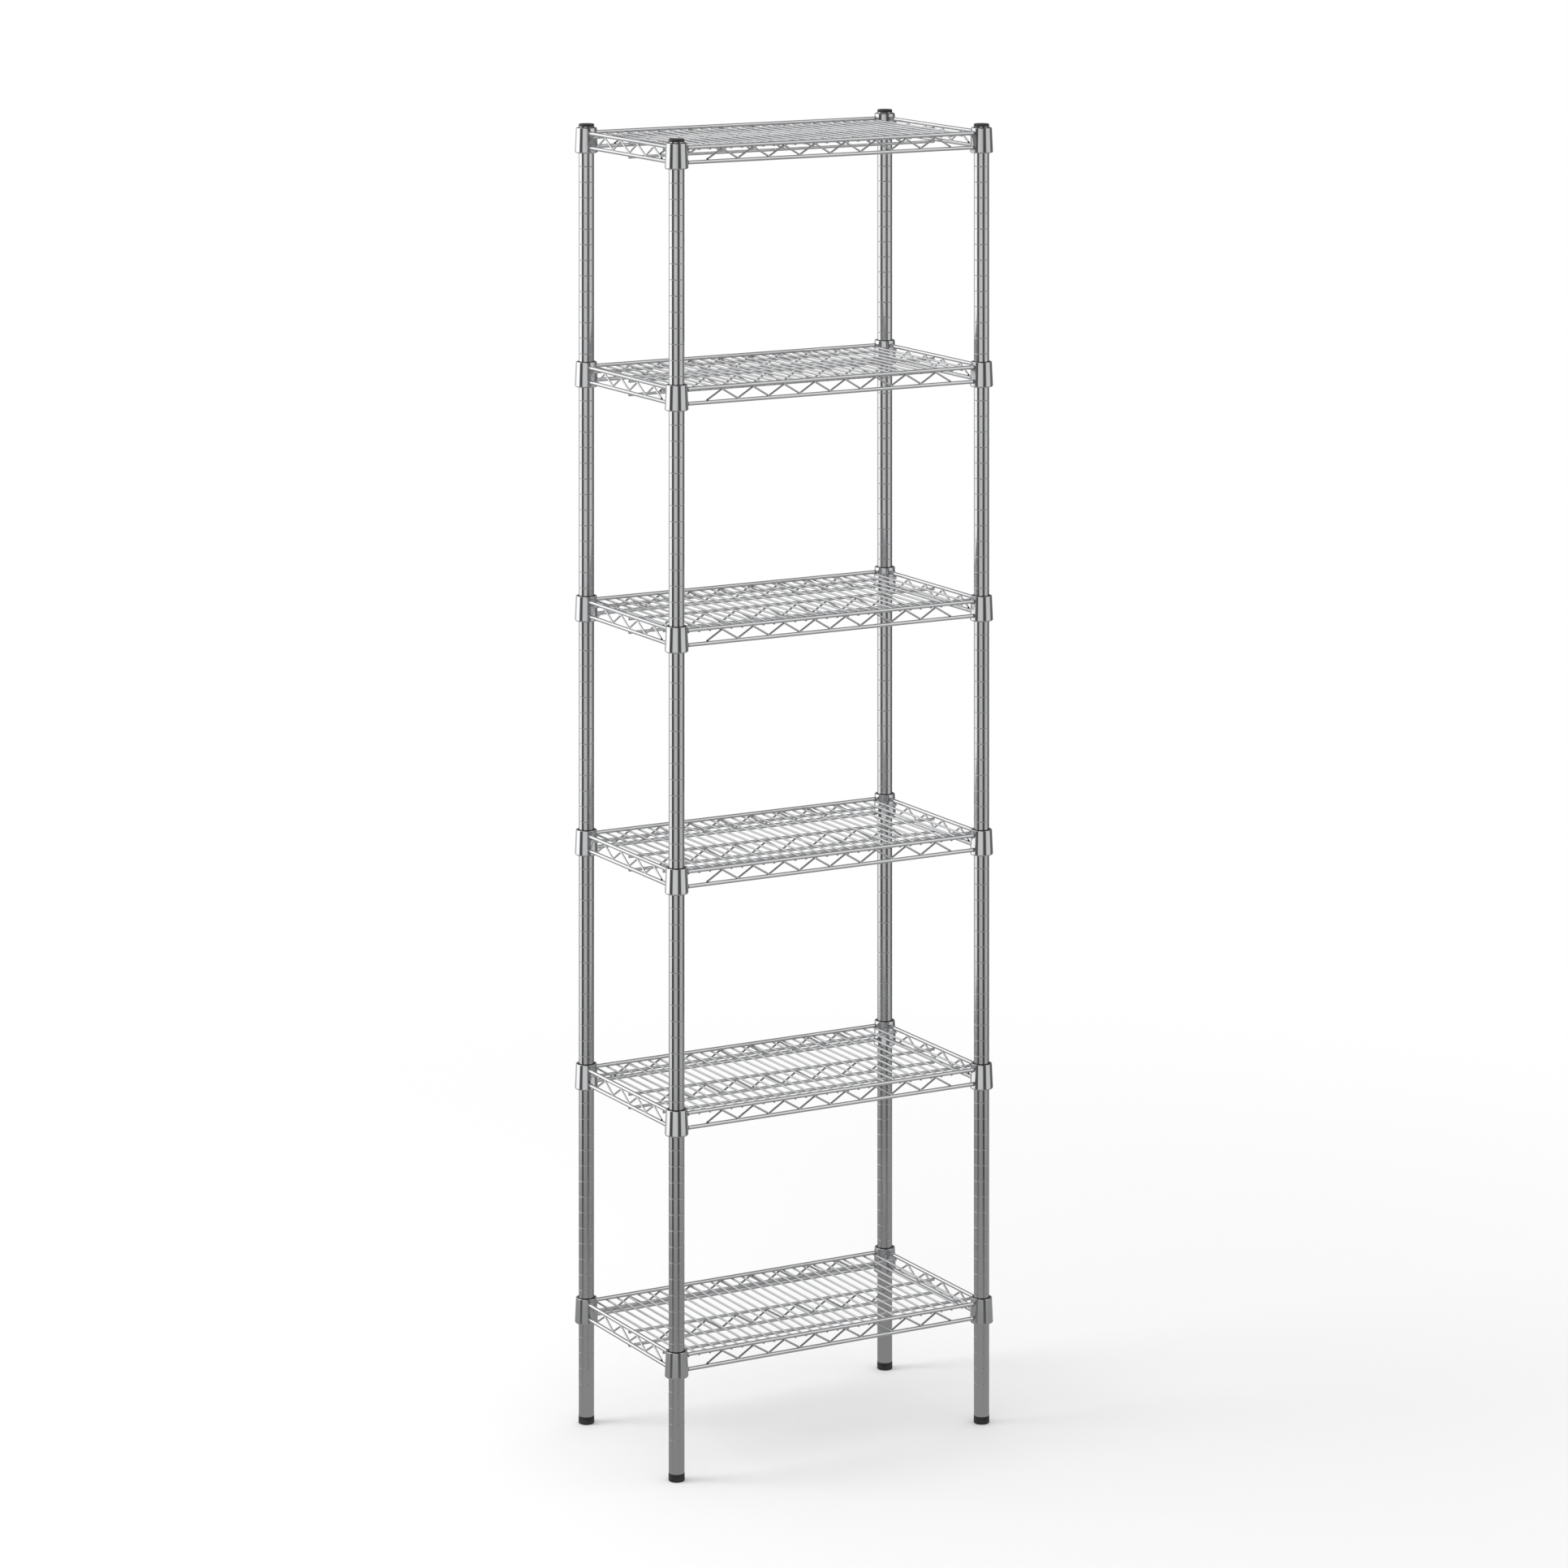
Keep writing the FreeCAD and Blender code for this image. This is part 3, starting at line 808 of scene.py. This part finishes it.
def side_and_height(nodes, direction):
    """Degrees to the right of the camera's side, and above the horizon."""
    towards = math.atan2(CAMERA_PLACE.y, CAMERA_PLACE.x)
    turn = nodes.add("ShaderNodeVectorRotate", rotation_type="Z_AXIS")
    turn.inputs["Angle"].default_value = -towards
    nodes.link(direction, turn.inputs["Vector"])
    split = nodes.add("ShaderNodeSeparateXYZ")
    nodes.link(turn.outputs["Vector"], split.inputs[0])
    side = nodes.math("ARCTAN2", split.outputs[1], split.outputs[0])
    height = nodes.math("ARCSINE", split.outputs[2])
    degree = math.degrees(1)
    return (
        nodes.math("MULTIPLY", side, degree),
        nodes.math("MULTIPLY", height, degree),
    )


def window(nodes, value, low, high, soft):
    """One between low and high, falling softly to zero outside."""
    rise = nodes.span(value, low - soft, low + soft, 0, 1)
    fall = nodes.span(value, high - soft, high + soft, 1, 0)
    return nodes.math("MULTIPLY", rise, fall)


def studio_world():
    """White all round, except for reflections, which see a soft-box studio."""
    world = bpy.data.worlds.new("studio")
    bpy.context.scene.world = world
    world.use_nodes = True
    tree = world.node_tree
    tree.nodes.clear()
    nodes = Nodes(tree)
    place = nodes.add("ShaderNodeTexCoord").outputs["Generated"]
    side, height = side_and_height(nodes, place)
    # Panels of the studio: degrees to the right of the camera's side, degrees
    # above the horizon, softness of the edge, and brightness.
    panels = (
        ("dark room behind, left half", -200, -150, -12, 30, 4, 0.24),
        ("dark room behind, right half", 156, 200, -12, 30, 4, 0.24),
        ("paper sweep, left half", -200, -150, -40, -13, 3, 0.8),
        ("paper sweep, right half", 150, 200, -40, -13, 3, 0.8),
        ("front wall", -69, 100, -40, 48, 4, 0.78),
        ("dark side right", 100, 154, -40, 30, 4, 0.17),
        ("side wall left, low", -148, -118, -40, -15, 3, 0.6),
        ("side wall left, middle", -148, -118, -14, 2, 3, 0.8),
        ("side wall left, high", -148, -126, 2, 48, 4, 0.95),
        ("pale wall behind, high", -200, -150, 33, 52, 3, 0.8),
        ("soft box left, inner part", -131, -116, -1, 38, 3, 1.35),
        ("soft box left", -121, -70, -40, 62, 4, 1.5),
        ("black flag left", *FLAG_LEFT, -40, 30, 7, 0.10),
        ("black flag right", *FLAG_RIGHT, -40, 52, 8, 0.09),
        ("black flag right, high part", -10, 49, 8, 62, 6, 0.10),
        ("overhead soft box", 56, 104, 32, 49, 4, 1.2),
        ("ceiling", -400, 400, 62, 140, 6, 0.35),
        ("far floor", -150, 150, -140, -20.5, 2.5, 0.48),
        ("floor under the rack", -400, 400, -140, -38, 6, 0.32),
    )
    # Dim light wherever no panel stands.
    light = 0.3
    for _, left, right, low, high, soft, bright in panels:
        share = nodes.math(
            "MULTIPLY",
            window(nodes, side, left, right, soft),
            window(nodes, height, low, high, soft),
        )
        light = nodes.mix(share, light, bright)
    # Less light reaches the lower part of the studio.
    light = nodes.math("MULTIPLY", light, nodes.span(height, -15, -5, 0.75, 1))
    studio = nodes.add("ShaderNodeBackground")
    white = nodes.add("ShaderNodeBackground")
    for background in (studio, white):
        background.inputs["Color"].default_value = (1, 1, 1, 1)
    nodes.link(light, studio.inputs["Strength"])
    ray = nodes.add("ShaderNodeLightPath")
    seen = nodes.blend(
        ray.outputs["Is Glossy Ray"], white.outputs[0], studio.outputs[0]
    )
    out = nodes.add("ShaderNodeOutputWorld")
    nodes.link(seen, out.inputs["Surface"])


def add_place(driver, name, thing, kind):
    """Let a driver read one coordinate of a thing's place."""
    variable = driver.variables.new()
    variable.name = name
    variable.type = "TRANSFORMS"
    variable.targets[0].id = thing
    variable.targets[0].transform_type = kind
    variable.targets[0].transform_space = "WORLD_SPACE"


def lay_floor(name, reach, gap, material):
    """A square floor just under the feet, which goes down with the lowest one."""
    mesh = bpy.data.meshes.new(name)
    corners = [(-reach, -reach, 0), (reach, -reach, 0), (reach, reach, 0)]
    mesh.from_pydata(corners + [(-reach, reach, 0)], [], [(0, 1, 2, 3)])
    mesh.materials.append(material)
    floor = bpy.data.objects.new(name, mesh)
    bpy.context.scene.collection.objects.link(floor)
    driver = floor.driver_add("location", 2).driver
    driver.type = "SCRIPTED"
    for corner in CORNERS:
        add_place(driver, corner, frame["bodies"][f"stud_{corner}"], "LOC_Z")
    lowest = ", ".join(CORNERS)
    driver.expression = f"min({lowest}) + ({cad_box[0].z - gap:.6f})"
    return floor


def paper_floor():
    """Pale paper floor that brightens into the white ground far away."""
    material, nodes, shader, place = new_material("paper")
    shader.inputs["Base Color"].default_value = (0.86, 0.86, 0.86, 1)
    shader.inputs["Roughness"].default_value = 0.9
    shader.inputs["Specular IOR Level"].default_value = 0.0
    distance = nodes.add("ShaderNodeVectorMath", operation="LENGTH")
    nodes.link(place, distance.inputs[0])
    away = nodes.span(distance.outputs["Value"], 0.5, 3.0, 0, 1)
    glow = nodes.add("ShaderNodeEmission")
    mixed = nodes.blend(away, shader.outputs[0], glow.outputs[0])
    out = material.node_tree.nodes["Material Output"]
    nodes.link(mixed, out.inputs["Surface"])
    floor = lay_floor("paper_floor", reach=14.0, gap=0.1 * MM, material=material)
    floor.visible_glossy = False


def floor_reflection_sheet():
    """A glowing sheet near the rack, which only the plating sees: a painted reflection of
    the floor.
    """
    material, nodes, shader, place = new_material("painted_floor_reflection")
    material.node_tree.nodes.remove(shader)
    distance = nodes.add("ShaderNodeVectorMath", operation="LENGTH")
    nodes.link(place, distance.inputs[0])
    away = nodes.span(distance.outputs["Value"], 1.25, 3.2, 0, 1)
    # Towards the flags it gives way to their dark reflections much nearer.
    back = nodes.add("ShaderNodeNewGeometry").outputs["Incoming"]
    onward = nodes.add("ShaderNodeVectorMath", operation="SCALE")
    onward.inputs["Scale"].default_value = -1
    nodes.link(back, onward.inputs[0])
    side, _ = side_and_height(nodes, onward.outputs["Vector"])
    near_flag = nodes.span(distance.outputs["Value"], 0.2, 1.9, 0, 1)
    for left, right in (FLAG_LEFT, FLAG_RIGHT):
        away = nodes.mix(window(nodes, side, left, right, 7), away, near_flag)
    glow = nodes.add("ShaderNodeEmission")
    # The glow paints the floor's reflection in the plating at a set brightness.
    glow.inputs["Strength"].default_value = 0.34
    clear = nodes.add("ShaderNodeBsdfTransparent")
    mixed = nodes.blend(away, glow.outputs[0], clear.outputs[0])
    out = material.node_tree.nodes["Material Output"]
    nodes.link(mixed, out.inputs["Surface"])
    floor = lay_floor("painted_floor_reflection", reach=3.4, gap=0.05 * MM, material=material)
    floor.visible_camera = False
    floor.visible_diffuse = False
    floor.visible_shadow = False


def studio_light():
    """One wide soft light from the left, for the faint floor shadows."""
    data = bpy.data.lights.new("key", "AREA")
    data.shape = "DISK"
    data.size = 2.0
    data.energy = 60.0
    lamp = bpy.data.objects.new("key", data)
    lamp.location = (-3.2, 1.3, 2.6)
    aim = Vector((0, 0, 0.4)) - lamp.location
    lamp.rotation_euler = aim.to_track_quat("-Z", "Y").to_euler()
    lamp.visible_glossy = False
    bpy.context.scene.collection.objects.link(lamp)


def camera():
    """Level camera; its lens shift applies only at its own place."""
    data = bpy.data.cameras.new("view")
    data.lens = CAMERA_LENS
    data.sensor_fit = "HORIZONTAL"
    data.sensor_width = 36.0
    data.clip_end = 100.0
    data.shift_x = CAMERA_SIDE_SHIFT
    view = bpy.data.objects.new("view", data)
    view.location = CAMERA_PLACE
    view.rotation_euler = (math.radians(90), 0, CAMERA_TURN)
    bpy.context.scene.collection.objects.link(view)
    bpy.context.scene.camera = view
    driver = data.driver_add("shift_y").driver
    driver.type = "SCRIPTED"
    add_place(driver, "x", view, "LOC_X")
    add_place(driver, "z", view, "LOC_Z")
    driver.expression = (
        f"{CAMERA_SHIFT} if abs(x - ({CAMERA_PLACE.x:.4f})) < 0.01"
        f" and abs(z - ({CAMERA_PLACE.z:.4f})) < 0.01 else 0.0"
    )


for corner_name in CORNERS:
    make_post(corner_name)
    make_cap(corner_name)
    make_insert(corner_name)
    make_stud(corner_name)
    make_base(corner_name)
for shelf_number in range(1, SHELF_COUNT + 1):
    make_collars(shelf_number)
    make_sleeves(shelf_number)
    make_rails(shelf_number)
    make_mat(shelf_number)
    make_supports(shelf_number)
    make_truss(shelf_number)
studio_world()
paper_floor()
floor_reflection_sheet()
studio_light()
camera()
bpy.context.scene.view_settings.view_transform = "Standard"
